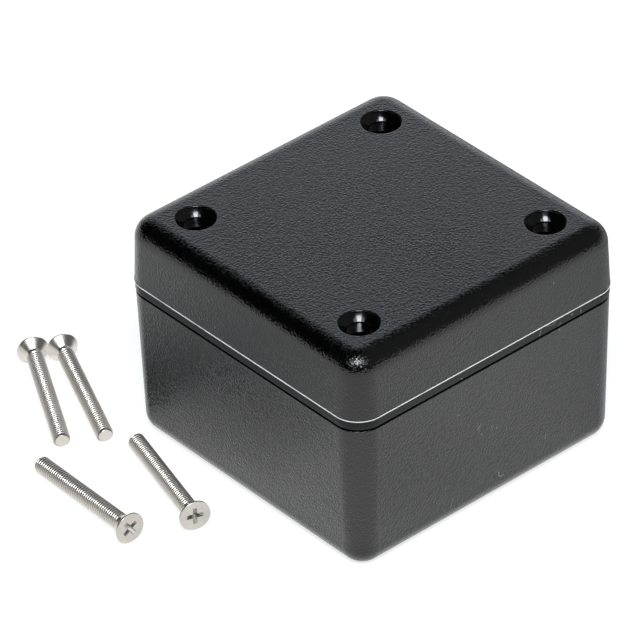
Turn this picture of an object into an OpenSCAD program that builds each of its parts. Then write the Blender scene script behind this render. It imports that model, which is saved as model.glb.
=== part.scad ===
/* [Box] */
// Width across the lid's rim, side to side
box_w = 58; // [52:0.5:90]
// Depth across the lid's rim, front to back
box_d = 58.5; // [52:0.5:90]
// Height from the table to the lid's top face
box_h = 42.7; // [40:0.1:60]
// Height of the joint between the base and the lid
joint_z = 29.1; // [24:0.1:30]
// Plan radius of the upright corners at the joint
corner_r = 4.85; // [4.7:0.05:7]
// Thickness of the side walls
wall = 2.2; // [1.8:0.1:2.4]

/* [Lid] */
// Thickness of the lid's top
lid_top_t = 2.6; // [2:0.1:4]
// Radius of the rounding around the lid's top
top_edge_r = 3.7; // [2.4:0.1:3.9]
// Inward lean of the lid's walls, in degrees
lid_lean = 2.4; // [0.5:0.1:3]
// Height of the smooth rim under the moulding's witness line
rim_h = 1.7; // [1:0.1:4]
// Set-back of the smooth rim at the witness line
rim_step = 0.12; // [0.05:0.01:0.3]
// Height of the fine ridge that the mould left along the witness line
ridge_h = 0.22; // [0.1:0.02:0.4]
// How far that ridge stands out of the lid's wall
ridge_out = 0.1; // [0.05:0.01:0.2]
// Depth of the locating lip below the joint
lip_h = 2; // [1:0.1:4]
// Thickness of the locating lip
lip_t = 1.2; // [0.8:0.1:1.4]
// Height over which the lip is joined to the inside of the lid's wall
lip_root_h = 2.4; // [1:0.1:4]
// Clearance between the lip and the inside of the base
lip_clear = 0.25; // [0.15:0.05:0.4]

/* [Base] */
// Thickness of the base's floor
floor_t = 2.4; // [1.8:0.1:4]
// Radius of the rounding around the underside
bottom_edge_r = 3.8; // [2.4:0.1:3.9]
// Inward lean of the base's walls, in degrees
base_lean = 1.5; // [0.5:0.1:2]
// Set-back of the base's walls under the lid's rim
base_step = 0.15; // [0:0.05:0.3]
// Height of the shadow gap under the lid's rim
gap_h = 0.35; // [0.2:0.05:0.8]
// Depth of the shadow gap into the base's rim
gap_depth = 0.9; // [0.4:0.1:1.2]

/* [Corner posts] */
// Distance from the side faces to each post's axis
post_inset = 8.9; // [8.7:0.1:11]
// Diameter of the base's posts and the lid's bosses
post_d = 8; // [7:0.1:8.2]
// Thickness of the webs that tie posts and bosses to the walls
web_t = 1.5; // [1:0.1:2]
// Room left between the base's webs and the lid's lip
web_room = 0.5; // [0.3:0.1:2]
// Straight depth of the screw recess above its cone
recess_wall_h = 0.2; // [0.1:0.1:1]
// Clearance around the screw head in its recess
recess_clear = 0.65; // [0.2:0.05:0.8]
// Clearance around the screw in the lid's boss
hole_clear = 0.7; // [0.2:0.05:0.8]
// Clearance around the screw in the post, below its insert
bore_clear = 0.3; // [0.1:0.05:0.5]
// Room in the post below the tip of a driven screw
tip_room = 1; // [0.5:0.1:3]

/* [Threaded inserts] */
// Diameter of the insert's knurled bands
insert_d = 5; // [4.6:0.1:5.4]
// Length of the insert
insert_l = 6; // [4:0.5:8]
// Height of each knurled band
band_h = 2.2; // [1:0.1:2.4]
// Depth of the waist between the bands
waist_depth = 0.25; // [0.1:0.05:0.4]
// Clearance between the insert and its seat in the post
insert_clear = 0.02; // [0.01:0.01:0.05]

/* [Lid screws] */
// Thread diameter
thread_d = 3; // [2.5:0.1:3.4]
// Thread pitch
thread_pitch = 0.5; // [0.4:0.05:0.6]
// Length overall, head included
screw_l = 25; // [18:1:30]
// Diameter of the countersunk head
head_d = 5.5; // [5:0.1:6]
// Height of the straight edge around the head
head_edge = 0.3; // [0.1:0.05:0.5]
// Length of the chamfer at the tip
tip_chamfer = 0.35; // [0.2:0.05:0.6]
// Span of the cross recess in the head
cross_span = 3; // [2.4:0.1:3.4]
// Width of the cross recess's wings
cross_w = 0.75; // [0.5:0.05:1]
// Depth of the cross recess
cross_depth = 1.3; // [0.8:0.1:1.5]

/* [Lying screws] */
// First screw: how far its tip lies in front of the box
first_out = 18.9; // [17:0.1:30]
// First screw: how far its tip lies to the left of the box's front corner
first_left = 0.5; // [0:0.1:10]
// Second screw: how far its tip lies in front of the box
second_out = 3.2; // [3:0.1:6]
// Second screw: how far its tip lies to the right of that corner
second_right = 5.3; // [5:0.1:10]
// Third screw: how far its tip lies in front of the box
third_out = 6; // [5:0.1:7]
// Third screw: how far its tip lies to the right of that corner
third_right = 0.8; // [-2:0.1:1]
// Clear gap between the third screw's head and the fourth's beside it
lying_gap = 0.3; // [0.2:0.1:2]
// How far the fourth screw's head lies ahead of the third's
lying_stagger = 0.8; // [0.6:0.1:1.4]

/* [Hidden] */
$fn = 96;
// How far a cut runs past the face that it opens, and a joined shape into its neighbour
over = 0.6;
// Smallest radius left at a corner's axis, inside a rounded edge
axis_r = 0.1;
post_x = box_w / 2 - post_inset;
post_y = box_d / 2 - post_inset;
thread_r = thread_d / 2;
head_r = head_d / 2;
head_cone_h = head_r - thread_r;
// Radii from the corner's axis, at the joint
base_out_r = corner_r - base_step;
base_in_r = base_out_r - wall;
lid_in_r = corner_r - wall;
lip_out_r = base_in_r - lip_clear;
lip_in_r = lip_out_r - lip_t;
wall_z = joint_z + rim_h;
ledge_z = joint_z - gap_h;
lid_under_z = box_h - lid_top_t;
// Rounded edges, held inside the corners that they run around
lid_edge_r = min(top_edge_r, corner_r - tan(lid_lean) * (box_h - wall_z) - axis_r);
lid_inner_r = min(top_edge_r - wall, lid_in_r - tan(lid_lean) * (lid_under_z - joint_z) - axis_r);
base_edge_r = min(bottom_edge_r, base_out_r - tan(base_lean) * ledge_z - axis_r);
base_inner_r = min(bottom_edge_r - wall, base_in_r - tan(base_lean) * (joint_z - floor_t) - axis_r);
// A driven screw: its head seats in the recess's cone, and its tip ends inside the post
recess_r = head_r + recess_clear;
hole_r = thread_r + hole_clear;
recess_cone_h = recess_r - hole_r;
head_sink = recess_wall_h + recess_clear - head_edge;
driven_tip_z = box_h - head_sink - screw_l;
seat_z = joint_z - insert_l;
bore_end_z = min(driven_tip_z, seat_z) - tip_room;
// A screw at rest lies on its head's edge and its tip
lying_tilt = atan((head_r - thread_r) / (screw_l - head_edge - tip_chamfer));
lying_h = thread_r * cos(lying_tilt) - tip_chamfer * sin(lying_tilt);
lying_reach = screw_l * cos(lying_tilt);
// Headings of the lying screws in plan, and their turns about their own axes, in degrees
headings = [-3.4, -16.9, 156.8, 152.1];
turns = [32.5, 88, 35, 70];
plastic = [0.11, 0.11, 0.115];
brass = [0.78, 0.62, 0.3];
steel = [0.78, 0.77, 0.74];

// Two-dimensional pieces

// Half section of a leaning wall that ends in a rounded edge, from radius r at height z to the face at z_end
module edge_section(r, z, z_end, lean, edge_r) {
    way = sign(z_end - z);
    centre_z = z_end - way * edge_r;
    centre_r = r - tan(lean) * abs(centre_z - z) - edge_r / cos(lean);
    centre = [centre_r, centre_z];
    tangent = centre + edge_r * [cos(lean), way * sin(lean)];
    polygon([[0, z], [r, z], tangent, centre, [centre_r, z_end], [0, z_end]]);
    intersection() {
        translate(centre) circle(r = edge_r);
        polygon([
            centre,
            2 * tangent - centre,
            centre + 2 * edge_r * [1, way],
            centre + 2 * edge_r * [0, way]
        ]);
    }
}

// Half section between two heights, from radius r at the lower one to r_top at the upper one
module flat_section(r, z, r_top, z_top) {
    polygon([[0, z], [r, z], [r_top, z_top], [0, z_top]]);
}

// Sweeps

// Carries a half section around the box's plan, with its zero on the axes of the four corners
module around() {
    half_x = box_w / 2 - corner_r;
    half_y = box_d / 2 - corner_r;
    for (turn = [0, 180]) rotate(turn) {
        translate([half_x, half_y, 0]) rotate([90, 0, 0]) linear_extrude(height = 2 * half_y) children();
        translate([-half_x, half_y, 0]) rotate([90, 0, 90]) linear_extrude(height = 2 * half_x) children();
        translate([half_x, half_y, 0]) rotate_extrude(angle = 90) children();
        translate([-half_x, half_y, 0]) rotate(90) rotate_extrude(angle = 90) children();
    }
}

// The same, filled between the corners' axes from z to z_top
module filled_around(z, z_top) {
    half_x = box_w / 2 - corner_r;
    half_y = box_d / 2 - corner_r;
    translate([-half_x, -half_y, z]) cube([2 * half_x, 2 * half_y, z_top - z]);
    around() children();
}

// Places a child at each of the four corner posts
module at_posts() {
    for (x = [-post_x, post_x], y = [-post_y, post_y]) translate([x, y, 0]) children();
}

// Webs from the posts straight out to both walls, ending at radius reach_r from the corners' axes
module webs(z, z_top, reach_r) {
    length_x = box_w / 2 - corner_r + reach_r - post_x;
    length_y = box_d / 2 - corner_r + reach_r - post_y;
    for (x = [-1, 1], y = [-1, 1]) scale([x, y, 1]) translate([post_x, post_y, z]) {
        translate([0, -web_t / 2, 0]) cube([length_x, web_t, z_top - z]);
        translate([-web_t / 2, 0, 0]) cube([web_t, length_y, z_top - z]);
    }
}

// Sub-parts

// Lower shell: open box with rounded underside, corner posts and a shadow-gap rim
module base() {
    color(plastic) difference() {
        union() {
            difference() {
                union() {
                    filled_around(0, ledge_z)
                        edge_section(base_out_r, ledge_z, 0, base_lean, base_edge_r);
                    filled_around(ledge_z, joint_z)
                        flat_section(base_out_r - gap_depth, ledge_z, base_out_r - gap_depth, joint_z);
                }
                filled_around(floor_t, joint_z + over)
                    edge_section(base_in_r, joint_z + over, floor_t, base_lean, base_inner_r);
            }
            at_posts() translate([0, 0, floor_t - over]) cylinder(d = post_d, h = joint_z - floor_t + over);
            webs(floor_t - over, joint_z - lip_h - web_room, base_in_r + over);
        }
        at_posts() {
            translate([0, 0, seat_z]) cylinder(r = insert_d / 2 + insert_clear, h = insert_l + over);
            translate([0, 0, bore_end_z]) cylinder(r = thread_r + bore_clear, h = joint_z - bore_end_z);
        }
    }
}

// Upper shell: rounded top, smooth rim, locating lip and bosses with countersunk screw holes
module lid() {
    color(plastic) difference() {
        union() {
            difference() {
                union() {
                    filled_around(joint_z, wall_z)
                        flat_section(corner_r, joint_z, corner_r - rim_step, wall_z);
                    filled_around(wall_z, wall_z + ridge_h)
                        flat_section(corner_r + ridge_out, wall_z, corner_r + ridge_out, wall_z + ridge_h);
                    filled_around(wall_z, box_h)
                        edge_section(corner_r, wall_z, box_h, lid_lean, lid_edge_r);
                }
                filled_around(joint_z - over, lid_under_z)
                    edge_section(lid_in_r, joint_z - over, lid_under_z, lid_lean, lid_inner_r);
            }
            around() {
                translate([lip_in_r, joint_z - lip_h]) square([lip_t, lip_h]);
                translate([lip_in_r, joint_z]) square([lid_in_r - lip_in_r + over, lip_root_h]);
            }
            at_posts() translate([0, 0, joint_z]) cylinder(d = post_d, h = lid_under_z - joint_z + over);
            webs(joint_z, lid_under_z + over, lid_in_r + over);
        }
        at_posts() {
            translate([0, 0, joint_z - over]) cylinder(r = hole_r, h = box_h - joint_z + 2 * over);
            translate([0, 0, box_h - recess_wall_h - recess_cone_h])
                cylinder(r1 = hole_r, r2 = recess_r, h = recess_cone_h);
            translate([0, 0, box_h - recess_wall_h]) cylinder(r = recess_r, h = recess_wall_h + over);
        }
    }
}

// Knurled thread insert, flush with the top of each base post
module threaded_inserts() {
    bore_r = thread_r - thread_pitch / 2;
    color(brass) at_posts() translate([0, 0, seat_z]) difference() {
        union() {
            cylinder(r = insert_d / 2 - waist_depth, h = insert_l);
            cylinder(d = insert_d, h = band_h);
            translate([0, 0, insert_l - band_h]) cylinder(d = insert_d, h = band_h);
        }
        translate([0, 0, -over]) cylinder(r = bore_r, h = insert_l + 2 * over);
    }
}

// One countersunk screw, standing on its tip
module screw() {
    cross_flare = (cross_span - cross_w) / 2 / cross_depth;
    cut_h = cross_depth + over;
    difference() {
        rotate_extrude() polygon([
            [0, 0],
            [thread_r - tip_chamfer, 0],
            [thread_r, tip_chamfer],
            [thread_r, screw_l - head_edge - head_cone_h],
            [head_r, screw_l - head_edge],
            [head_r, screw_l],
            [0, screw_l]
        ]);
        translate([0, 0, screw_l - cross_depth]) intersection() {
            cylinder(r1 = cross_w / 2, r2 = cross_w / 2 + cross_flare * cut_h, h = cut_h);
            for (turn = [0, 90]) rotate(turn)
                translate([-head_r, -cross_w / 2, 0]) cube([head_d, cross_w, cut_h]);
        }
    }
}

// Lays a screw down: its tip at the given place, its head along the heading, turned by roll about its axis
module lying(tip, heading, roll) {
    translate([tip.x, tip.y, lying_h]) rotate([0, 90 - lying_tilt, heading]) rotate(roll) screw();
}

// The four screws, taken out and lying in front of the box's left corner
module lid_screws() {
    corner = [-box_w / 2, -box_d / 2];
    third_tip = corner + [third_right, -third_out];
    // The fourth lies beside the third, set from its head
    along = [cos(headings[2]), sin(headings[2])];
    across = [-along.y, along.x];
    spread = head_d - (lying_stagger - head_edge) + lying_gap;
    fourth_head = third_tip + (lying_reach + lying_stagger) * along + spread * across;
    fourth_tip = fourth_head - lying_reach * [cos(headings[3]), sin(headings[3])];
    color(steel) {
        lying(corner + [-first_left, -first_out], headings[0], turns[0]);
        lying(corner + [second_right, -second_out], headings[1], turns[1]);
        lying(third_tip, headings[2], turns[2]);
        lying(fourth_tip, headings[3], turns[3]);
    }
}

base();
lid();
threaded_inserts();
lid_screws();
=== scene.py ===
import math

import bmesh
import bpy
from mathutils import Matrix, Vector


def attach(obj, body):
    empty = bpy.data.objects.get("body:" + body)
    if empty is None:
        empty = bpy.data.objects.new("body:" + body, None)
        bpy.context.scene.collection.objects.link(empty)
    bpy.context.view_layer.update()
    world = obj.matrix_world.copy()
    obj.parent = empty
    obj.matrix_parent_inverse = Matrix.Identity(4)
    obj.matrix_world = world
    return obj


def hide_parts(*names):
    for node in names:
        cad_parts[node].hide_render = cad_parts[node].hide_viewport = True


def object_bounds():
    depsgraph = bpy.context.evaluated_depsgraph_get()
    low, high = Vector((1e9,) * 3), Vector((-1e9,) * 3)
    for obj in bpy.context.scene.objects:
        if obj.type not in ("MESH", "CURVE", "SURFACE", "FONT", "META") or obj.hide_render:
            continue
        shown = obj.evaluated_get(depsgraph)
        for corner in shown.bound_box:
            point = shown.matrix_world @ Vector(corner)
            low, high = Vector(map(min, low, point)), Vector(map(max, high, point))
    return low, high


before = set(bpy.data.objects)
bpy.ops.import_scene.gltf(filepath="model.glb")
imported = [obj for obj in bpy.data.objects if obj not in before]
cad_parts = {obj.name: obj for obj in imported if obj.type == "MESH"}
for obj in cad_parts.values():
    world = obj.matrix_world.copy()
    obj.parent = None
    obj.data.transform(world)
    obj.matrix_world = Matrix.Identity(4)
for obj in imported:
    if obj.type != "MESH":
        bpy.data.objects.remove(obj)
cadCorners = [list(corner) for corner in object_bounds()]
print("frame:", ", ".join(sorted(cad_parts)))

mm = 0.001
mergeGap = 1e-6  # points nearer than this are one point (m)
scene = bpy.context.scene

# the plan that both shells share, in mm: the lid's outer corner and its top come from the frame
outerX, outerY, topZ = [round(value / mm, 3) for value in cadCorners[1]]
plan = {"cornerReach": 4.95, "postX": 20.1, "postY": 20.35, "cornerSteps": 20, "jointZ": 29.1, "topZ": topZ}
plan["axisX"] = outerX - plan["cornerReach"]  # axes of the four upright corners
plan["axisY"] = outerY - plan["cornerReach"]

# faces that lean with the mould's draft: r from the corner axis and z, at the foot and at the top (mm)
walls = {
    "base": ((3.947, 0.0), (4.7, 28.66)),
    "rim": ((4.81, plan["jointZ"]), (4.745, 30.53)),
    "lid": ((4.842, 30.877), (4.3515, plan["topZ"])),
}


def wallPoint(wall, side, along, z):
    (footReach, footZ), (topReach, topZ) = walls[wall]
    reach = footReach + (topReach - footReach) * (z - footZ) / (topZ - footZ)
    if side == "right":
        return Vector((plan["axisX"] + reach, along, z)) * mm
    return Vector((along, -plan["axisY"] - reach, z)) * mm


# node groups, built once and placed in each material with its own values

def newGroup(name, inputs, outputs):
    group = bpy.data.node_groups.new(name, "ShaderNodeTree")
    for label, kind, value in inputs:
        socket = group.interface.new_socket(label, in_out="INPUT", socket_type="NodeSocket" + kind)
        socket.default_value = value
    for label in outputs:
        group.interface.new_socket(label, in_out="OUTPUT", socket_type="NodeSocketFloat")
    return group, group.nodes.new("NodeGroupInput").outputs, group.nodes.new("NodeGroupOutput").inputs


def feed(tree, value, socket):
    # links an output of another node, or sets a plain value
    if hasattr(value, "is_output"):
        tree.links.new(value, socket)
    elif value is not None:
        socket.default_value = value


def addNode(tree, kind, settings=None, **values):
    node = tree.nodes.new("ShaderNode" + kind)
    for key, value in (settings or {}).items():
        setattr(node, key, value)
    for key, value in values.items():
        feed(tree, value, node.inputs[key.replace("_", " ")])
    return node


def mathNode(tree, operation, first, second=None, clamp=False):
    node = addNode(tree, "Math", {"operation": operation, "use_clamp": clamp})
    feed(tree, first, node.inputs[0])
    feed(tree, second, node.inputs[1])
    return node.outputs[0]


def vectorNode(tree, operation, first, second=None, scale=None, out="Vector"):
    node = addNode(tree, "VectorMath", {"operation": operation})
    feed(tree, first, node.inputs[0])
    feed(tree, second, node.inputs[1])
    if operation == "SCALE":
        feed(tree, scale, node.inputs["Scale"])
    return node.outputs[out]


def rangeNode(tree, value, low, high, outLow=0.0, outHigh=1.0, smooth=True):
    node = addNode(tree, "MapRange", {"interpolation_type": "SMOOTHSTEP" if smooth else "LINEAR"})
    feed(tree, value, node.inputs["Value"])
    for key, number in zip(("From Min", "From Max", "To Min", "To Max"), (low, high, outLow, outHigh)):
        feed(tree, number, node.inputs[key])
    return node.outputs["Result"]


def blend(tree, mask, low, high):
    return rangeNode(tree, mask, 0.0, 1.0, low, high, smooth=False)


grainShape = {"warpScale": 0.8, "warpReach": 0.9, "hillSmooth": 0.6, "hillReach": 0.75,
              "rippleScale": 1.7, "rippleRough": 0.55}


def buildMouldGrain():
    # leathery spark-eroded grain: warped cells with a finer ripple on them
    inputs = [("Position", "Vector", (0, 0, 0)), ("Cells", "Float", 1500.0), ("Ripple", "Float", 0.35)]
    group, start, end = newGroup("mouldGrain", inputs, ["Height"])
    slow = mathNode(group, "MULTIPLY", start["Cells"], grainShape["warpScale"])
    warp = addNode(group, "TexNoise", Vector=start["Position"], Scale=slow, Detail=1.0)
    push = vectorNode(group, "SUBTRACT", warp.outputs["Color"], (0.5, 0.5, 0.5))
    reach = mathNode(group, "DIVIDE", grainShape["warpReach"], start["Cells"])
    moved = vectorNode(group, "ADD", start["Position"], vectorNode(group, "SCALE", push, scale=reach))
    cells = addNode(group, "TexVoronoi", {"feature": "SMOOTH_F1"}, Vector=moved, Scale=start["Cells"],
                    Smoothness=grainShape["hillSmooth"])
    hills = rangeNode(group, cells.outputs["Distance"], 0.0, grainShape["hillReach"], 1.0, 0.0)
    quick = mathNode(group, "MULTIPLY", start["Cells"], grainShape["rippleScale"])
    fine = addNode(group, "TexNoise", Vector=moved, Scale=quick, Detail=2.0,
                   Roughness=grainShape["rippleRough"])
    ripple = mathNode(group, "MULTIPLY", fine.outputs["Fac"], start["Ripple"])
    feed(group, mathNode(group, "ADD", hills, ripple), end["Height"])
    return group


strokeSoft = (0.4, 1.6)  # a stroke fades out between these shares of its half width


def buildStrokeMark():
    # a short scratch or fleck: soft distance to the line between two points
    inputs = [("Position", "Vector", (0, 0, 0)), ("Start", "Vector", (0, 0, 0)),
              ("End", "Vector", (0, 0, 0)), ("Width", "Float", 0.0001)]
    group, start, end = newGroup("strokeMark", inputs, ["Mask", "Distance"])
    line = vectorNode(group, "SUBTRACT", start["End"], start["Start"])
    offset = vectorNode(group, "SUBTRACT", start["Position"], start["Start"])
    along = vectorNode(group, "DOT_PRODUCT", offset, line, out="Value")
    whole = vectorNode(group, "DOT_PRODUCT", line, line, out="Value")
    part = mathNode(group, "DIVIDE", along, whole, clamp=True)
    nearest = vectorNode(group, "SCALE", line, scale=part)
    gap = vectorNode(group, "LENGTH", vectorNode(group, "SUBTRACT", offset, nearest), out="Value")
    half = mathNode(group, "MULTIPLY", start["Width"], 0.5)
    full, none = [mathNode(group, "MULTIPLY", half, share) for share in strokeSoft]
    feed(group, rangeNode(group, gap, full, none, 1.0, 0.0), end["Mask"])
    feed(group, gap, end["Distance"])
    return group


dustCore = 0.4  # share of a speck that is fully pale


def buildDust():
    # sparse pale specks: one in a few cells holds a small dot
    inputs = [("Position", "Vector", (0, 0, 0)), ("Cells", "Float", 220.0), ("Share", "Float", 0.12),
              ("Size", "Float", 0.05)]
    group, start, end = newGroup("dustSpecks", inputs, ["Mask"])
    cells = addNode(group, "TexVoronoi", Vector=start["Position"], Scale=start["Cells"], Randomness=1.0)
    pick = addNode(group, "SeparateColor", Color=cells.outputs["Color"])
    held = mathNode(group, "LESS_THAN", pick.outputs["Red"], start["Share"])
    core = mathNode(group, "MULTIPLY", start["Size"], dustCore)
    dot = rangeNode(group, cells.outputs["Distance"], core, start["Size"], 1.0, 0.0)
    feed(group, mathNode(group, "MULTIPLY", held, dot), end["Mask"])
    return group


def buildPatches():
    # slow cloudy changes of tone or gloss
    inputs = [("Position", "Vector", (0, 0, 0)), ("Scale", "Float", 90.0), ("Detail", "Float", 2.0),
              ("Low", "Float", 0.3), ("High", "Float", 0.7)]
    group, start, end = newGroup("cloudyPatches", inputs, ["Noise", "Mask"])
    noise = addNode(group, "TexNoise", Vector=start["Position"], Scale=start["Scale"],
                    Detail=start["Detail"])
    feed(group, noise.outputs["Fac"], end["Noise"])
    feed(group, rangeNode(group, noise.outputs["Fac"], start["Low"], start["High"]), end["Mask"])
    return group


mouldGrain, strokeMark = buildMouldGrain(), buildStrokeMark()
dustSpecks, cloudyPatches = buildDust(), buildPatches()
print("node groups:", mouldGrain.name, strokeMark.name, dustSpecks.name, cloudyPatches.name)


# materials

def newMaterial(name, **values):
    material = bpy.data.materials.new(name)
    material.use_nodes = True
    shader = material.node_tree.nodes["Principled BSDF"]
    for key, value in values.items():
        shader.inputs[key.replace("_", " ")].default_value = value
    return material, material.node_tree, shader


def useGroup(tree, group, position, **values):
    node = addNode(tree, "Group", {"node_tree": group})
    feed(tree, position, node.inputs["Position"])
    for key, value in values.items():
        node.inputs[key].default_value = value
    return node.outputs


def mixColours(tree, mask, low, high):
    mix = addNode(tree, "Mix", {"data_type": "RGBA"})
    feed(tree, mask, mix.inputs["Factor"])
    mix.inputs["A"].default_value = (*low, 1)
    mix.inputs["B"].default_value = (*high, 1)
    return mix.outputs["Result"]


def objectPosition(tree):
    return addNode(tree, "TexCoord").outputs["Object"]


def addRelief(tree, shader, height, distance):
    bump = addNode(tree, "Bump", Height=height, Distance=distance, Strength=1.0)
    feed(tree, bump.outputs["Normal"], shader.inputs["Normal"])


# scratches, flecks and nicks: side, from and to as places along the wall and up (mm), width (mm), strength
baseMarks = [
    ("right", (-2.75, 16.9), (-2.05, 17.75), 0.14, 0.9),
    ("right", (1.45, 15.2), (1.55, 15.05), 0.22, 0.8),
    ("right", (0.35, 16.15), (0.5, 15.35), 0.12, 0.5),
    ("right", (-1.85, 15.5), (-1.75, 15.35), 0.2, 0.5),
    ("right", (-7.15, 22.25), (-6.8, 21.95), 0.18, 0.7),
    ("right", (2.05, 5.55), (2.1, 4.85), 0.2, 0.9),
    ("right", (2.1, 4.85), (2.55, 4.45), 0.16, 0.8),
    ("right", (2.55, 4.45), (3.15, 4.45), 0.14, 0.7),
    ("right", (-8.1, 5.55), (-8.65, 3.75), 0.16, 0.35),
    ("right", (12.55, 7.8), (12.45, 7.1), 0.16, 0.6),
    ("right", (24.25, 12.25), (24.35, 12.05), 0.18, 0.5),
    ("right", (15.15, 28.35), (15.3, 28.1), 0.22, 0.8),
    ("front", (9.5, 9.2), (9.65, 9.15), 0.2, 0.6),
]
rimMarks = [
    ("right", (11.05, 30.15), (10.7, 29.3), 0.14, 0.8),
    ("right", (12.35, 30.35), (13.85, 30.05), 0.12, 0.6),
    ("right", (13.85, 30.05), (14.4, 30.35), 0.12, 0.7),
    ("right", (14.6, 28.95), (15.5, 29.55), 0.12, 0.7),
    ("right", (17.85, 30.05), (18.1, 30.0), 0.3, 0.6),
    ("right", (19.95, 29.9), (19.9, 29.45), 0.14, 0.8),
    ("right", (-6.55, 29.35), (-6.4, 29.35), 0.22, 0.8),
]
lidMarks = [
    ("right", (14.05, 38.15), (14.15, 38.0), 0.2, 0.7),
    ("front", (20.3, 39.85), (20.5, 39.75), 0.16, 0.6),
    ("front", (23.8, 32.55), (23.95, 32.45), 0.16, 0.6),
    ("front", (-5.65, 32.8), (-5.45, 32.7), 0.16, 0.5),
]


def addMarks(tree, position, mask, wall, marks):
    for side, begin, finish, width, strength in marks:
        stroke = useGroup(tree, strokeMark, position, Start=wallPoint(wall, side, *begin),
                          End=wallPoint(wall, side, *finish), Width=width * mm)
        mask = mathNode(tree, "MAXIMUM", mask, mathNode(tree, "MULTIPLY", stroke["Mask"], strength))
    return mask


plasticIOR = 1.5
scuffColour = (0.27, 0.27, 0.27)


def finishPlastic(tree, shader, look, mask, clouds):
    # black where it is clean, paler and duller where it is scuffed or dusty
    feed(tree, mixColours(tree, mask, look["colour"], scuffColour), shader.inputs["Base Color"])
    rough = blend(tree, clouds, look["roughness"] - look["spread"], look["roughness"] + look["spread"])
    dulled = mathNode(tree, "MULTIPLY", mask, look["scuffRoughness"])
    feed(tree, mathNode(tree, "MAXIMUM", rough, dulled), shader.inputs["Roughness"])


grained = {
    "colour": (0.0006, 0.0006, 0.00065), "roughness": 0.15, "spread": 0.03, "scuffRoughness": 0.7,
    "patches": 90.0, "cells": 2900.0, "ripple": 0.5, "lidRelief": 0.000052, "baseRelief": 0.000046,
    # the grain is calmer on the lid's rounding: heights (m) of both changes, and shares of the relief
    "wallFade": (0.0375, 0.0395), "edgeShare": 0.68, "topFade": (0.0414, 0.0424), "topShare": 0.9,
    "dust": {"Cells": 230.0, "Share": 0.06, "Size": 0.035}, "dustStrength": 0.35,
}


def grainedPlastic(name, relief, wall, marks):
    material, tree, shader = newMaterial(name, IOR=plasticIOR)
    position = objectPosition(tree)
    grain = useGroup(tree, mouldGrain, position, Cells=grained["cells"], Ripple=grained["ripple"])
    height = addNode(tree, "SeparateXYZ", Vector=position).outputs["Z"]
    calm = rangeNode(tree, height, *grained["wallFade"], 1.0, grained["edgeShare"])
    share = rangeNode(tree, height, *grained["topFade"], calm, grained["topShare"])
    addRelief(tree, shader, mathNode(tree, "MULTIPLY", grain["Height"], share), relief)
    dust = useGroup(tree, dustSpecks, position, **grained["dust"])
    faint = mathNode(tree, "MULTIPLY", dust["Mask"], grained["dustStrength"])
    patches = useGroup(tree, cloudyPatches, position, Scale=grained["patches"])
    finishPlastic(tree, shader, grained, addMarks(tree, position, faint, wall, marks), patches["Mask"])
    return material


polished = {
    "colour": (0.0006, 0.0006, 0.0006), "roughness": 0.12, "spread": 0.04, "scuffRoughness": 0.6,
    "gloss": 0.46, "rimGloss": 0.25, "waves": 700.0, "relief": 0.000004,
    "dust": {"Cells": 300.0, "Share": 0.05, "Size": 0.04}, "dustStrength": 0.3,
}


def polishedPlastic(name, gloss, wall="", marks=()):
    material, tree, shader = newMaterial(name, IOR=plasticIOR, Specular_IOR_Level=gloss)
    position = objectPosition(tree)
    waves = useGroup(tree, cloudyPatches, position, Scale=polished["waves"])
    addRelief(tree, shader, waves["Noise"], polished["relief"])
    dust = useGroup(tree, dustSpecks, position, **polished["dust"])
    faint = mathNode(tree, "MULTIPLY", dust["Mask"], polished["dustStrength"])
    finishPlastic(tree, shader, polished, addMarks(tree, position, faint, wall, marks), waves["Mask"])
    return material


ridge = {"colour": (0.88, 0.88, 0.87), "dull": (0.45, 0.45, 0.45), "roughness": 0.45,
         "breaks": {"Scale": 160.0, "Detail": 3.0, "Low": 0.25, "High": 0.45}}


def paleRidge():
    # a thin line round the lid, coloured pale, in brighter and duller stretches
    material, tree, shader = newMaterial("paleRidge", IOR=plasticIOR, Roughness=ridge["roughness"])
    breaks = useGroup(tree, cloudyPatches, objectPosition(tree), **ridge["breaks"])
    colour = mixColours(tree, breaks["Mask"], ridge["dull"], ridge["colour"])
    feed(tree, colour, shader.inputs["Base Color"])
    return material


steel = {
    "colour": (0.68, 0.644, 0.585), "dark": (0.612, 0.58, 0.526), "metallic": 0.92,
    "roughness": 0.3, "spread": 0.03, "clouds": 260.0, "scratches": 6000.0, "relief": 0.000002,
    "groove": 0.3,  # painted shade: how much darker the thread's roots are painted than its crests
    # the head's face and its cross are darker copies of this steel: painted shade that dims what they
    # reflect
    "faceShadeTint": 0.82, "faceRoughness": 0.34, "recessShadeTint": 0.53, "recessRoughness": 0.58,
}


def screwMetal(name, tint, roughness, groove=1.0):
    material, tree, shader = newMaterial(name, Metallic=steel["metallic"])
    position = objectPosition(tree)
    clouds = useGroup(tree, cloudyPatches, position, Scale=steel["clouds"])
    colour = mixColours(tree, clouds["Mask"], Vector(steel["dark"]) * tint, Vector(steel["colour"]) * tint)
    # painted shade: the thread's roots are painted darker than its crests, the deeper the darker
    if groove < 1:
        depth = addNode(tree, "Attribute", {"attribute_name": "threadDepth"})  # 0 on crests, 1 in roots
        paintedRootShade = blend(tree, depth.outputs["Fac"], 1.0, groove)
        colour = vectorNode(tree, "SCALE", colour, scale=paintedRootShade)
    feed(tree, colour, shader.inputs["Base Color"])
    rough = blend(tree, clouds["Mask"], roughness + steel["spread"], roughness - steel["spread"])
    feed(tree, rough, shader.inputs["Roughness"])
    scratches = useGroup(tree, cloudyPatches, position, Scale=steel["scratches"], Detail=1.0)
    addRelief(tree, shader, scratches["Noise"], steel["relief"])
    return material


brass = {"colour": (0.72, 0.5, 0.2), "dark": (0.5, 0.33, 0.12),
         "brightRoughness": 0.22, "darkRoughness": 0.36, "clouds": {"Scale": 1200.0, "Detail": 3.0}}


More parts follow.
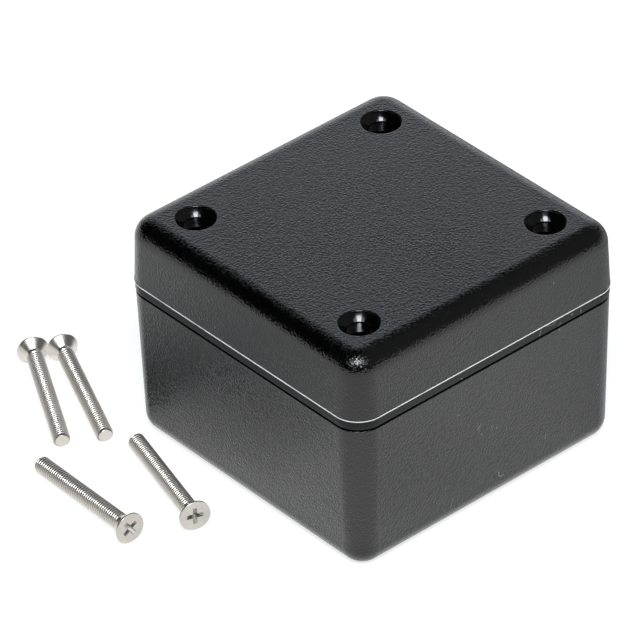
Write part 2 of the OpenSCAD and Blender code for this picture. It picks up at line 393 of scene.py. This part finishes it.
def insertBrass():
    material, tree, shader = newMaterial("turnedBrass", Metallic=1.0)
    clouds = useGroup(tree, cloudyPatches, objectPosition(tree), **brass["clouds"])
    colour = mixColours(tree, clouds["Mask"], brass["dark"], brass["colour"])
    feed(tree, colour, shader.inputs["Base Color"])
    rough = blend(tree, clouds["Mask"], brass["darkRoughness"], brass["brightRoughness"])
    feed(tree, rough, shader.inputs["Roughness"])
    return material


lidGrain = grainedPlastic("lidGrainedBlack", grained["lidRelief"], "lid", lidMarks)
baseGrain = grainedPlastic("baseGrainedBlack", grained["baseRelief"], "base", baseMarks)
lidRim = polishedPlastic("lidRimBlack", polished["rimGloss"], "rim", rimMarks)
lidSmooth = polishedPlastic("lidSmoothBlack", polished["gloss"])
baseSmooth = polishedPlastic("baseSmoothBlack", polished["gloss"])
nickel = screwMetal("brightScrewMetal", 1.0, steel["roughness"], steel["groove"])
nickelFace = screwMetal("screwHeadFaceShaded", steel["faceShadeTint"], steel["faceRoughness"])
nickelRecess = screwMetal("screwRecessShaded", steel["recessShadeTint"], steel["recessRoughness"])
ridgePale, insertMetal = paleRidge(), insertBrass()
print("materials made")


# shaping

def roundedSection(bm, points):
    # a wire section in the XZ plane: r, z and, where a corner is rounded, its radius and segments
    verts = [bm.verts.new((point[0] * mm, 0, point[1] * mm)) for point in points]
    for pair in zip(verts, verts[1:]):
        bm.edges.new(pair)
    for index, point in enumerate(points):
        if len(point) < 4:
            continue
        here = Vector((point[0], 0, point[1]))
        back = Vector((points[index - 1][0], 0, points[index - 1][1])) - here
        ahead = Vector((points[index + 1][0], 0, points[index + 1][1])) - here
        turn = math.pi - back.angle(ahead)
        bmesh.ops.bevel(bm, geom=[verts[index]], offset=point[2] * mm * math.tan(turn / 2),
                        segments=point[3], profile=0.5, affect="VERTICES", material=-1)


def sweepAround(bm):
    # carries the section round one corner and out to the middle of both walls, then mirrors it
    axisX, axisY = plan["axisX"] * mm, plan["axisY"] * mm
    bmesh.ops.translate(bm, verts=bm.verts, vec=(axisX, axisY, 0))
    section, sectionVerts = bm.edges[:], bm.verts[:]
    turned = bmesh.ops.spin(bm, geom=section + sectionVerts, cent=(axisX, axisY, 0), axis=(0, 0, 1),
                            angle=math.pi / 2, steps=plan["cornerSteps"])
    far = [item for item in turned["geom_last"] if isinstance(item, bmesh.types.BMEdge)]
    for edges, shift in ((section, (0, -axisY, 0)), (far, (-axisX, 0, 0))):
        grown = bmesh.ops.extrude_edge_only(bm, edges=edges)
        moved = [item for item in grown["geom"] if isinstance(item, bmesh.types.BMVert)]
        bmesh.ops.translate(bm, verts=moved, vec=shift)
    for axis in "XY":
        bmesh.ops.mirror(bm, geom=bm.verts[:] + bm.edges[:] + bm.faces[:], axis=axis, merge_dist=mergeGap)
    bmesh.ops.remove_doubles(bm, verts=bm.verts, dist=mergeGap)
    bmesh.ops.holes_fill(bm, edges=bm.edges, sides=0)
    bmesh.ops.recalc_face_normals(bm, faces=bm.faces)


def revolve(bm, points, steps):
    # a turned solid about the Z axis
    roundedSection(bm, points)
    bmesh.ops.spin(bm, geom=bm.edges[:] + bm.verts[:], cent=(0, 0, 0), axis=(0, 0, 1), angle=2 * math.pi,
                   steps=steps, use_merge=True)
    bmesh.ops.remove_doubles(bm, verts=bm.verts, dist=mergeGap)
    bmesh.ops.recalc_face_normals(bm, faces=bm.faces)


def makeObject(name, bm, materials=()):
    mesh = bpy.data.meshes.new(name)
    bm.to_mesh(mesh)
    bm.free()
    for material in materials:
        mesh.materials.append(material)
    piece = bpy.data.objects.new(name, mesh)
    scene.collection.objects.link(piece)
    return piece


def repeatAt(bm, matrices):
    # copies what is in the bmesh to each place
    source = bpy.data.meshes.new("copySource")
    bm.to_mesh(source)
    bm.clear()
    for matrix in matrices:
        known = set(bm.verts)
        bm.from_mesh(source)
        bmesh.ops.transform(bm, matrix=matrix, verts=[vert for vert in bm.verts if vert not in known])
    bpy.data.meshes.remove(source)


def postPlaces():
    corners = [(x * plan["postX"], y * plan["postY"], 0) for x in (-1, 1) for y in (-1, 1)]
    return [Matrix.Translation(Vector(corner) * mm) for corner in corners]


def combine(piece, tool, operation):
    # joins or cuts with a helper solid, then drops the helper
    modifier = piece.modifiers.new("combine", "BOOLEAN")
    modifier.object, modifier.operation, modifier.solver = tool, operation, "EXACT"
    bpy.context.view_layer.update()
    result = bpy.data.meshes.new_from_object(piece.evaluated_get(bpy.context.evaluated_depsgraph_get()))
    old, helper = piece.data, tool.data
    piece.modifiers.clear()
    piece.data = result
    result.name = old.name
    bpy.data.objects.remove(tool)
    bpy.data.meshes.remove(helper)
    bpy.data.meshes.remove(old)


def shadeSmooth(piece, angle=35, weight=80):
    mesh = piece.data
    mesh.shade_smooth()
    mesh.set_sharp_from_angle(angle=math.radians(angle))
    weighted = piece.modifiers.new("evenNormals", "WEIGHTED_NORMAL")
    weighted.keep_sharp, weighted.weight = True, weight


def planReach(co):
    # distance of a point from the rectangle between the corner axes, in mm
    return math.hypot(max(abs(co.x) / mm - plan["axisX"], 0), max(abs(co.y) / mm - plan["axisY"], 0))


def postGap(co):
    # distance of a point from the nearest post's axis, in mm
    return math.hypot(abs(co.x) / mm - plan["postX"], abs(co.y) / mm - plan["postY"])


# posts of the base and bosses of the lid, in mm: both have the same webs to the walls
postForm = {"radius": 4.0, "sides": 64, "edge": 0.2, "edgeSegments": 3, "webThick": 1.5, "webReach": 2.9}


def postsAndWebs(piece, foot, top, webFoot, webTop, freeEnd):
    bm = bmesh.new()
    height = (top - foot) * mm
    radius = postForm["radius"] * mm
    bmesh.ops.create_cone(bm, cap_ends=True, segments=postForm["sides"], radius1=radius, radius2=radius,
                          depth=height)
    endZ = height / 2 if freeEnd == "top" else -height / 2
    rim = [edge for edge in bm.edges if all(abs(vert.co.z - endZ) < mergeGap for vert in edge.verts)]
    bmesh.ops.bevel(bm, geom=rim, offset=postForm["edge"] * mm, segments=postForm["edgeSegments"],
                    profile=0.5, affect="EDGES", material=-1)
    bmesh.ops.translate(bm, verts=bm.verts, vec=(0, 0, foot * mm + height / 2))
    repeatAt(bm, postPlaces())
    combine(piece, makeObject("posts", bm, piece.data.materials), "UNION")
    thick, webHeight, webMiddle = postForm["webThick"], webTop - webFoot, (webTop + webFoot) / 2
    for crosswise in (False, True):
        bm = bmesh.new()
        toWall = plan["axisY"] - plan["postY"] if crosswise else plan["axisX"] - plan["postX"]
        reach = toWall + postForm["webReach"]
        size = Vector((thick, reach, webHeight) if crosswise else (reach, thick, webHeight))
        for x in (-1, 1):
            for y in (-1, 1):
                centre = Vector((x * plan["postX"], y * plan["postY"], webMiddle))
                centre += Vector((0, y * reach / 2, 0) if crosswise else (x * reach / 2, 0, 0))
                place = Matrix.Translation(centre * mm) @ Matrix.Diagonal((*(size * mm), 1))
                bmesh.ops.create_cube(bm, size=1.0, matrix=place)
        combine(piece, makeObject("webs", bm, piece.data.materials), "UNION")


# lid

lidForm = {
    "section": [  # r from the corner axis, z, rounding radius, segments
        (0.803, plan["topZ"]),
        (*walls["lid"][1], 3.7, 20),
        (*walls["lid"][0], 0.03, 2),
        (plan["cornerReach"], 30.877, 0.035, 3),
        (plan["cornerReach"], 30.728, 0.035, 3),
        (4.25, 30.728, 0.03, 2),
        (4.25, 30.54, 0.03, 2),
        (*walls["rim"][1], 0.04, 2),
        (*walls["rim"][0], 0.14, 4),
        (2.25, plan["jointZ"], 0.08, 2),
        (2.25, 27.1, 0.25, 3),
        (1.05, 27.1, 0.25, 3),
        (1.05, 31.5, 0.2, 3),
        (2.5243, 31.5, 0.2, 3),
        (2.1637, 40.1, 1.5, 8),
        (0.7254, 40.1),
    ],
    "bosses": {"foot": plan["jointZ"], "top": 40.7, "freeEnd": "foot",
               "webFoot": plan["jointZ"], "webTop": 40.7},
    "countersink": [  # r, z, rounding radius, segments, from above the top down to the bore
        (0.0, 43.4),
        (3.66, 43.4),
        (3.66, 42.701),
        (3.4, 42.701, 0.255, 5),
        (3.4, 42.42, 0.08, 3),
        (2.2, 41.3, 0.2, 4),
    ],
    "boreR": 2.2, "boreEnd": 28.5, "sides": 64,
    "rings": 20, "ringsTop": 41.06, "ringPitch": 0.084, "ringDeep": 0.0725, "ringDrop": 0.02,
    # what tells the faces apart
    "ridgeZ": (30.71, 30.9), "ridgeReach": 4.86, "rimReach": 4.2, "wallReach": 3.5, "roundingDeep": 3.0,
    "facingUp": 0.3, "holeReach": 3.7, "holeFoot": 28.0, "holeCorners": 40,
}


def holeSection():
    # the countersink, then the bore with the fine rings that the tool turned in it
    bore, pitch = lidForm["boreR"], lidForm["ringPitch"]
    points = list(lidForm["countersink"])
    for ring in range(lidForm["rings"]):
        z = lidForm["ringsTop"] - pitch * ring
        points += [(bore, z), (bore + lidForm["ringDeep"], z - lidForm["ringDrop"])]
    points.append((bore, lidForm["ringsTop"] - pitch * lidForm["rings"]))
    return points + [(bore, lidForm["boreEnd"]), (0.0, lidForm["boreEnd"])]


def buildLid():
    bm = bmesh.new()
    roundedSection(bm, lidForm["section"])
    sweepAround(bm)
    lid = makeObject("lidShell", bm, (lidGrain, lidSmooth, ridgePale, lidRim))
    postsAndWebs(lid, **lidForm["bosses"])
    bm = bmesh.new()
    revolve(bm, holeSection(), lidForm["sides"])
    repeatAt(bm, postPlaces())
    combine(lid, makeObject("holes", bm, lid.data.materials), "DIFFERENCE")
    low, high = lidForm["ridgeZ"]
    for face in lid.data.polygons:
        reach, z = planReach(face.center), face.center.z / mm
        onWall = reach > lidForm["wallReach"] and z > high
        onTop = z > plan["topZ"] - lidForm["roundingDeep"] and face.normal.z > lidForm["facingUp"]
        nearHole = postGap(face.center) < lidForm["holeReach"] and z > lidForm["holeFoot"]
        inHole = nearHole and len(face.vertices) < lidForm["holeCorners"]  # the top face has more
        if low < z < high and reach > lidForm["ridgeReach"]:
            face.material_index = 2
        elif reach > lidForm["rimReach"] and z < high:
            face.material_index = 3
        else:
            face.material_index = 0 if (onWall or onTop) and not inHole else 1
    shadeSmooth(lid)
    return lid


# base

baseForm = {
    "section": [
        (0.2454, 0.0),
        (*walls["base"][0], 3.8, 16),
        (*walls["base"][1], 0.16, 5),
        (3.8, 28.66, 0.06, 2),
        (3.8, plan["jointZ"], 0.08, 2),
        (2.4843, plan["jointZ"], 0.12, 3),
        (1.785, 2.4, 1.6, 8),
        (0.2265, 2.4),
    ],
    "posts": {"foot": 1.8, "top": plan["jointZ"], "freeEnd": "top", "webFoot": 1.8, "webTop": 26.6},
    # seat of the insert, and under it room for the screw's tip
    "seatR": 2.52, "seatTop": 29.7, "seatFoot": 23.1, "tipR": 1.8, "tipFoot": 16.15, "sides": 64,
    # what tells the faces apart
    "wallReach": 3.4, "wallTop": 28.7, "roundingTop": 2.2, "facingUp": 0.2, "undersideZ": 0.05,
}


def buildBase():
    bm = bmesh.new()
    roundedSection(bm, baseForm["section"])
    sweepAround(bm)
    base = makeObject("baseShell", bm, (baseGrain, baseSmooth))
    postsAndWebs(base, **baseForm["posts"])
    bm = bmesh.new()
    seatR, seatTop, seatFoot = baseForm["seatR"], baseForm["seatTop"], baseForm["seatFoot"]
    tipR, tipFoot = baseForm["tipR"], baseForm["tipFoot"]
    revolve(bm, [(0, seatTop), (seatR, seatTop), (seatR, seatFoot), (tipR, seatFoot), (tipR, tipFoot),
                 (0, tipFoot)], baseForm["sides"])
    repeatAt(bm, postPlaces())
    combine(base, makeObject("bores", bm, base.data.materials), "DIFFERENCE")
    for face in base.data.polygons:
        z = face.center.z / mm
        rounding = z < baseForm["roundingTop"] and face.normal.z < baseForm["facingUp"]
        outside = planReach(face.center) > baseForm["wallReach"] and z < baseForm["wallTop"] or rounding
        face.material_index = 0 if outside and z > baseForm["undersideZ"] else 1
    shadeSmooth(base)
    return base


lidShell, baseShell = buildLid(), buildBase()
for piece, node, body in ((lidShell, "lid", "lid_body"), (baseShell, "base", "base_body")):
    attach(piece, body)
    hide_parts(node)
    print(piece.name, len(piece.data.polygons), "faces")


# threaded inserts

insertForm = {
    "foot": baseForm["seatFoot"], "length": plan["jointZ"] - baseForm["seatFoot"],
    "radius": 2.5, "waist": 2.25, "band": 2.2, "step": 0.02,
    "teeth": 36, "groove": 0.12, "twist": 14, "smoothAngle": 30,
    "bore": 1.25, "thread": 1.5, "leadIn": 0.5, "boreSides": 48,
}


def buildInserts():
    bm = bmesh.new()
    sides = insertForm["teeth"] * 2
    radius, length = insertForm["radius"], insertForm["length"]
    ring = bmesh.ops.create_circle(bm, cap_ends=False, segments=sides, radius=radius * mm)["verts"]
    for vert in ring[::2]:  # every second point sinks, which cuts the knurl
        vert.co *= 1 - insertForm["groove"] / radius
    edges = bm.edges[:]
    band, step, twist = insertForm["band"], insertForm["step"], insertForm["twist"]
    inward = insertForm["waist"] / radius
    waistLong = length - 2 * band - 2 * step
    # two knurled bands that twist opposite ways, with a plain waist between: rise, twist, scale
    stages = ((band, twist, 1), (step, 0, inward), (waistLong, 0, 1), (step, 0, 1 / inward),
              (band, -twist, 1))
    for rise, turn, scale in stages:
        grown = bmesh.ops.extrude_edge_only(bm, edges=edges)
        edges = [item for item in grown["geom"] if isinstance(item, bmesh.types.BMEdge)]
        verts = list({vert for edge in edges for vert in edge.verts})
        bmesh.ops.translate(bm, verts=verts, vec=(0, 0, rise * mm))
        bmesh.ops.rotate(bm, verts=verts, cent=(0, 0, 0),
                         matrix=Matrix.Rotation(math.radians(turn), 3, "Z"))
        bmesh.ops.scale(bm, verts=verts, vec=(scale, scale, 1))
    bmesh.ops.holes_fill(bm, edges=bm.edges, sides=0)
    bmesh.ops.recalc_face_normals(bm, faces=bm.faces)
    insert = makeObject("threadInserts", bm, (insertMetal,))
    bm = bmesh.new()
    bore, thread, leadIn = insertForm["bore"], insertForm["thread"], insertForm["leadIn"]
    revolve(bm, [(0, -leadIn), (thread + leadIn, -leadIn), (bore, thread - bore),
                 (bore, length - thread + bore), (thread + leadIn, length + leadIn), (0, length + leadIn)],
            insertForm["boreSides"])
    combine(insert, makeObject("bore", bm, (insertMetal,)), "DIFFERENCE")
    bm = bmesh.new()
    bm.from_mesh(insert.data)
    repeatAt(bm, [place @ Matrix.Translation((0, 0, insertForm["foot"] * mm)) for place in postPlaces()])
    bm.to_mesh(insert.data)
    bm.free()
    shadeSmooth(insert, insertForm["smoothAngle"])
    return insert


inserts = buildInserts()
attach(inserts, "base_body")
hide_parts("threaded_inserts")
print(inserts.name, len(inserts.data.polygons), "faces")


# lid screws

screwForm = {
    "length": 25.0, "tipChamfer": 0.35, "tipFlat": 0.01, "smoothAngle": 18,
    "threadR": 1.5, "pitch": 0.5, "threadDepth": 0.27, "threadEnd": 22.75, "stepsPerTurn": 26,
    "spareTurns": 2,  # wound on at each end and cut off
    "rootFlat": 0.1, "crestFlat": 0.065, "crestEdge": (0.05, 0.044),  # rise and drop of the crest's edges
    "headR": 2.75, "headEdge": 0.3, "headSides": 64, "coneRound": 0.04, "faceRound": 0.06,
    # the neck under the head: depths below the cone, and how far its root lies in the shank
    "neckR": 1.43, "neckRound": 0.1, "neckTop": 0.07, "neckFoot": 0.7, "rootFoot": 1.0, "rootInset": 0.4,
    # the cross: its floor is narrower by these shares, and the cut runs on above the head
    "crossSpan": 3.0, "crossWide": 0.78, "crossDeep": 1.3, "floorShare": (0.3, 0.75, 1), "crossRise": 0.4,
    "crossEdge": 0.12, "uprightFrom": 0.2, "crossMargin": 0.1, "faceDeep": 0.02,
}
# how they lie: tip x, tip y (mm), heading and turn about the own axis (degrees)
lyingScrews = [
    (-29.5, -48.15, -3.4, 32.5),
    (-23.7, -32.45, -16.9, 88.0),
    (-28.09, -35.3, 157.25, 35.0),
    (-31.92, -41.51, 151.85, 70.0),
]


def buildThread():
    bm = bmesh.new()
    pitch, crest, steps = screwForm["pitch"], screwForm["threadR"], screwForm["stepsPerTurn"]
    root = crest - screwForm["threadDepth"]
    spare = screwForm["spareTurns"]
    turns = round(screwForm["threadEnd"] / pitch) + 2 * spare
    rise, drop = screwForm["crestEdge"]
    rootEnd, crestHalf = screwForm["rootFlat"], screwForm["crestFlat"] / 2
    middle = (rootEnd + pitch) / 2
    chain = [(root, 0), (root, rootEnd),
             (crest - drop, middle - crestHalf - rise), (crest, middle - crestHalf),
             (crest, middle + crestHalf), (crest - drop, middle + crestHalf + rise), (root, pitch)]
    verts = [bm.verts.new((r * mm, 0, (z - spare * pitch) * mm)) for r, z in chain]
    edges = [bm.edges.new(pair) for pair in zip(verts, verts[1:])]
    bmesh.ops.spin(bm, geom=verts + edges, cent=(0, 0, 0), axis=(0, 0, 1), angle=2 * math.pi * turns,
                   dvec=(0, 0, pitch * mm / steps), steps=turns * steps)
    bmesh.ops.remove_doubles(bm, verts=bm.verts, dist=mergeGap)
    for height, way in ((0, -1), (screwForm["threadEnd"] * mm, 1)):
        bmesh.ops.bisect_plane(bm, geom=bm.verts[:] + bm.edges[:] + bm.faces[:], plane_co=(0, 0, height),
                               plane_no=(0, 0, way), clear_outer=True)
    tip = crest - screwForm["tipChamfer"]
    for vert in bm.verts:  # the chamfer trims the first turns
        reach, limit = vert.co.xy.length / mm, tip + vert.co.z / mm
        if reach > limit:
            vert.co.xy *= limit / reach
    bmesh.ops.holes_fill(bm, edges=bm.edges, sides=0)
    bmesh.ops.recalc_face_normals(bm, faces=bm.faces)
    return makeObject("lidScrews", bm, (nickel, nickelFace, nickelRecess))


def addHead(screws):
    length, head, edge = screwForm["length"], screwForm["headR"], screwForm["headEdge"]
    neck, neckRound, crest = screwForm["neckR"], screwForm["neckRound"], screwForm["threadR"]
    coneZ = length - edge - (head - crest)
    rootZ = coneZ - screwForm["rootFoot"]
    bm = bmesh.new()
    revolve(bm, [(0, rootZ), (crest - screwForm["rootInset"], rootZ),
                 (neck, coneZ - screwForm["neckFoot"], neckRound, 2),
                 (neck, coneZ - screwForm["neckTop"], neckRound, 2),
                 (head, length - edge, screwForm["coneRound"], 2),
                 (head, length, screwForm["faceRound"], 3), (0, length)], screwForm["headSides"])
    combine(screws, makeObject("head", bm, screws.data.materials), "UNION")


def cutCross(screws):
    length, deep = screwForm["length"], screwForm["crossDeep"]
    middleZ = (length - deep / 2) * mm
    for turn in (0, 90):
        bm = bmesh.new()
        size = Matrix.Diagonal((screwForm["crossSpan"] * mm, screwForm["crossWide"] * mm, deep * mm, 1))
        bmesh.ops.create_cube(bm, size=1.0, matrix=Matrix.Translation((0, 0, middleZ)) @ size)
        low = [vert for vert in bm.verts if vert.co.z < middleZ]
        bmesh.ops.scale(bm, verts=low, vec=screwForm["floorShare"])
        high = [face for face in bm.faces if face.normal.z > 0.5]
        grown = bmesh.ops.extrude_face_region(bm, geom=high)  # carries the cut out of the head
        raised = [item for item in grown["geom"] if isinstance(item, bmesh.types.BMVert)]
        bmesh.ops.translate(bm, verts=raised, vec=(0, 0, screwForm["crossRise"] * mm))
        bmesh.ops.delete(bm, geom=high, context="FACES_ONLY")
        tall = screwForm["uprightFrom"] * mm
        upright = [edge for edge in bm.edges if abs(edge.verts[0].co.z - edge.verts[1].co.z) > tall]
        bmesh.ops.bevel(bm, geom=upright, offset=screwForm["crossEdge"] * mm, segments=2, profile=0.5,
                        affect="EDGES", material=-1)
        bmesh.ops.rotate(bm, verts=bm.verts, cent=(0, 0, 0),
                         matrix=Matrix.Rotation(math.radians(turn), 3, "Z"))
        bmesh.ops.recalc_face_normals(bm, faces=bm.faces)
        combine(screws, makeObject("crossWing", bm, screws.data.materials), "DIFFERENCE")
    margin = screwForm["crossMargin"]
    for face in screws.data.polygons:
        depth, reach = length - face.center.z / mm, face.center.xy.length / mm
        if depth < screwForm["faceDeep"]:
            face.material_index = 1
        elif depth < deep + margin and reach < screwForm["crossSpan"] / 2 + margin:
            face.material_index = 2


def screwPlaces():
    # each screw lies on its tip's chamfer and on the edge of its head
    crest, chamfer = screwForm["threadR"], screwForm["tipChamfer"]
    lying = screwForm["length"] - screwForm["headEdge"] - chamfer
    tilt = math.atan((screwForm["headR"] - crest) / lying)
    rise = crest * math.cos(tilt) - chamfer * math.sin(tilt)
    places = []
    for x, y, heading, turn in lyingScrews:
        tip = Matrix.Translation(Vector((x, y, rise)) * mm)
        lie = Matrix.Rotation(math.radians(heading), 4, "Z") @ Matrix.Rotation(math.pi / 2 - tilt, 4, "Y")
        places.append(tip @ lie @ Matrix.Rotation(math.radians(turn), 4, "Z"))
    return places


def buildScrews():
    screws = buildThread()
    addHead(screws)
    cutCross(screws)
    bm = bmesh.new()
    bm.from_mesh(screws.data)
    layer = bm.verts.layers.float.new("threadDepth")
    for vert in bm.verts:  # the tip's flat end gets no painted root shade
        if screwForm["tipFlat"] < vert.co.z / mm < screwForm["threadEnd"]:
            sunk = screwForm["threadR"] - vert.co.xy.length / mm
            vert[layer] = min(1, max(0, sunk / screwForm["threadDepth"]))
    repeatAt(bm, screwPlaces())
    bm.to_mesh(screws.data)
    bm.free()
    shadeSmooth(screws, screwForm["smoothAngle"])
    return screws


screws = buildScrews()
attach(screws, "base_body")
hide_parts("lid_screws")
screws.visible_glossy = False  # painted reflection: the wall mirrors the floor's painted dark streaks in their place
print(screws.name, len(screws.data.polygons), "faces")


# floor, light and camera

cameraForm = {
    "azimuth": 49.0129, "elevation": 35.987, "roll": -1.3759, "distance": 1.0821,
    "lens": 368.19, "sensor": 36.0, "clip": (0.05, 20.0), "aim": (0, 0, 0.02135),
    "aimPixel": (372.97, 325.87), "pictureSize": 640,  # where the aim falls in the picture
}
studio = {
    "floorSize": 3.0, "floorColour": (0.42, 0.42, 0.42), "floorGlow": 0.76, "mirrorGlow": 0.84,
    "mirrorFrom": (0.0045, 0.0085),  # how far (m) a thing stands off before it mirrors the painted streaks
    # painted shadows, painted reflections and painted pools of light on the floor, which the box mirrors:
    # dark streaks stand for the screws' reflections and shadows and for the box's own shadow, light ones
    # for light pooled beside the box: from, to, full reach, end reach (mm), change of glow
    "paintedFloorShadeAndLight": [
        ((-38, -63), (-39, -64), 8, 48, -0.46),
        ((-28, -48), (-10, -47), 2, 13, -0.44),
        ((-34.5, -36.5), (-43, -41.5), 3, 9, -0.6),
        ((-22, -31), (22, -31), 1, 5, 0.22),
        ((44, -42), (45, -42), 8, 32, 0.3),
        ((52, 28), (60, 50), 12, 34, 0.22),
        ((31, -22), (31, 22), 1, 5, 0.2),
        ((-45, 105), (-110, 330), 45, 150, -0.85),
    ],
    "horizonFade": (0.02, 0.13), "horizonLevel": 1.15,
    "sideAzimuth": 132, "sideElevation": 32, "sideFade": (0.35, 0.97), "sideLevel": 0.2, "roomLevel": 0.01,
}
# lamp panels: azimuth from the camera, elevation (degrees), distance, width, height (m), watts, colour
panels = {
    "overheadBox": (0, 51.5, 1.25, 0.46, 0.42, 11.5, (0.95, 0.98, 1.03)),
    "overheadStrip": (0, 52, 1.27, 1.35, 0.32, 5.5, (0.94, 0.98, 1.03)),
    "backPanel": (180, 21.2, 1.9, 1.9, 1.32, 9.4, (0.92, 0.97, 1.06)),
}


def direction(azimuth, elevation):
    a, e = math.radians(azimuth), math.radians(elevation)
    return Vector((math.sin(a) * math.cos(e), -math.cos(a) * math.cos(e), math.sin(e)))


def floorGlow(tree):
    # plain white to the camera; to glossy rays it carries painted shadows, painted reflections and painted
    # pools of light, which the box mirrors
    seen = addNode(tree, "LightPath").outputs
    position = objectPosition(tree)
    faraway = rangeNode(tree, seen["Ray Length"], *studio["mirrorFrom"])
    paintedMirrorGlow = studio["mirrorGlow"]
    # each streak paints shade or light into the glow that glossy rays see
    for begin, finish, full, end, amount in studio["paintedFloorShadeAndLight"]:
        paintedStreak = useGroup(tree, strokeMark, position, Start=Vector((*begin, 0)) * mm,
                          End=Vector((*finish, 0)) * mm)
        change = rangeNode(tree, paintedStreak["Distance"], full * mm, end * mm, amount, 0.0)
        paintedMirrorGlow = mathNode(tree, "ADD", mathNode(tree, "MULTIPLY", change, faraway), paintedMirrorGlow)
    direct = mathNode(tree, "MAXIMUM", seen["Is Camera Ray"], seen["Is Transmission Ray"])
    plain = mathNode(tree, "MULTIPLY", direct, studio["floorGlow"])
    paintedMirrorLight = mathNode(tree, "MULTIPLY", seen["Is Glossy Ray"], mathNode(tree, "MAXIMUM", paintedMirrorGlow, 0.0))
    return mathNode(tree, "MAXIMUM", plain, paintedMirrorLight)


def addFloor():
    bm = bmesh.new()
    bmesh.ops.create_grid(bm, x_segments=1, y_segments=1, size=studio["floorSize"])
    floor = makeObject("paleFloor", bm)
    material = bpy.data.materials.new("paleFloor")
    material.use_nodes = True
    tree = material.node_tree
    tree.nodes.clear()
    matt = addNode(tree, "BsdfDiffuse", Color=(*studio["floorColour"], 1))
    glow = addNode(tree, "Emission", Strength=floorGlow(tree))
    total = addNode(tree, "AddShader")
    feed(tree, matt.outputs[0], total.inputs[0])
    feed(tree, glow.outputs[0], total.inputs[1])
    feed(tree, total.outputs[0], addNode(tree, "OutputMaterial").inputs["Surface"])
    floor.data.materials.append(material)


def addPanel(name, azimuth, elevation, distance, width, height, watts, colour):
    lamp = bpy.data.lights.new(name, "AREA")
    lamp.shape, lamp.size, lamp.size_y = "RECTANGLE", width, height
    lamp.energy, lamp.color = watts, colour
    panel = bpy.data.objects.new(name, lamp)
    scene.collection.objects.link(panel)
    out = direction(cameraForm["azimuth"] + azimuth, elevation)
    panel.location = Vector(cameraForm["aim"]) + out * distance
    panel.rotation_mode = "QUATERNION"
    panel.rotation_quaternion = out.to_track_quat("Z", "Y")
    panel.visible_camera = False


def addWorld():
    # white near the horizon, dark above it but for a grey side of the room
    world = bpy.data.worlds.new("studioRoom")
    scene.world = world
    world.use_nodes = True
    tree = world.node_tree
    sky = tree.nodes["Background"]
    sky.inputs["Color"].default_value = (1, 1, 1, 1)
    where = addNode(tree, "TexCoord").outputs["Generated"]
    height = addNode(tree, "SeparateXYZ", Vector=where).outputs["Z"]
    low = rangeNode(tree, height, *studio["horizonFade"], studio["horizonLevel"], 0.0)
    toSide = direction(studio["sideAzimuth"], studio["sideElevation"])
    facing = vectorNode(tree, "DOT_PRODUCT", where, toSide, out="Value")
    side = rangeNode(tree, facing, *studio["sideFade"], studio["roomLevel"], studio["sideLevel"])
    feed(tree, mathNode(tree, "MAXIMUM", low, side), sky.inputs["Strength"])


def addCamera():
    lens = bpy.data.cameras.new("photoCamera")
    lens.lens, lens.sensor_width = cameraForm["lens"], cameraForm["sensor"]
    lens.clip_start, lens.clip_end = cameraForm["clip"]
    camera = bpy.data.objects.new("photoCamera", lens)
    scene.collection.objects.link(camera)
    back = direction(cameraForm["azimuth"], cameraForm["elevation"])
    right = Vector((-back.y, back.x, 0)).normalized()
    up = back.cross(right)
    roll = math.radians(cameraForm["roll"])
    right, up = math.cos(roll) * right + math.sin(roll) * up, math.cos(roll) * up - math.sin(roll) * right
    camera.location = Vector(cameraForm["aim"]) + back * cameraForm["distance"]
    middle = cameraForm["pictureSize"] / 2
    focal = cameraForm["lens"] / cameraForm["sensor"] * cameraForm["pictureSize"]
    across, down = [(pixel - middle) / focal for pixel in cameraForm["aimPixel"]]
    back = (back + across * right - down * up).normalized()  # pans, so that the box stands off the middle
    right = (right - right.dot(back) * back).normalized()
    up = back.cross(right)
    camera.rotation_mode = "QUATERNION"
    camera.rotation_quaternion = Matrix((right, up, back)).transposed().to_quaternion()
    scene.camera = camera


addFloor()
for name, values in panels.items():
    addPanel(name, *values)
addWorld()
addCamera()
scene.view_settings.view_transform = "Standard"
print("stage, lamps and camera set")
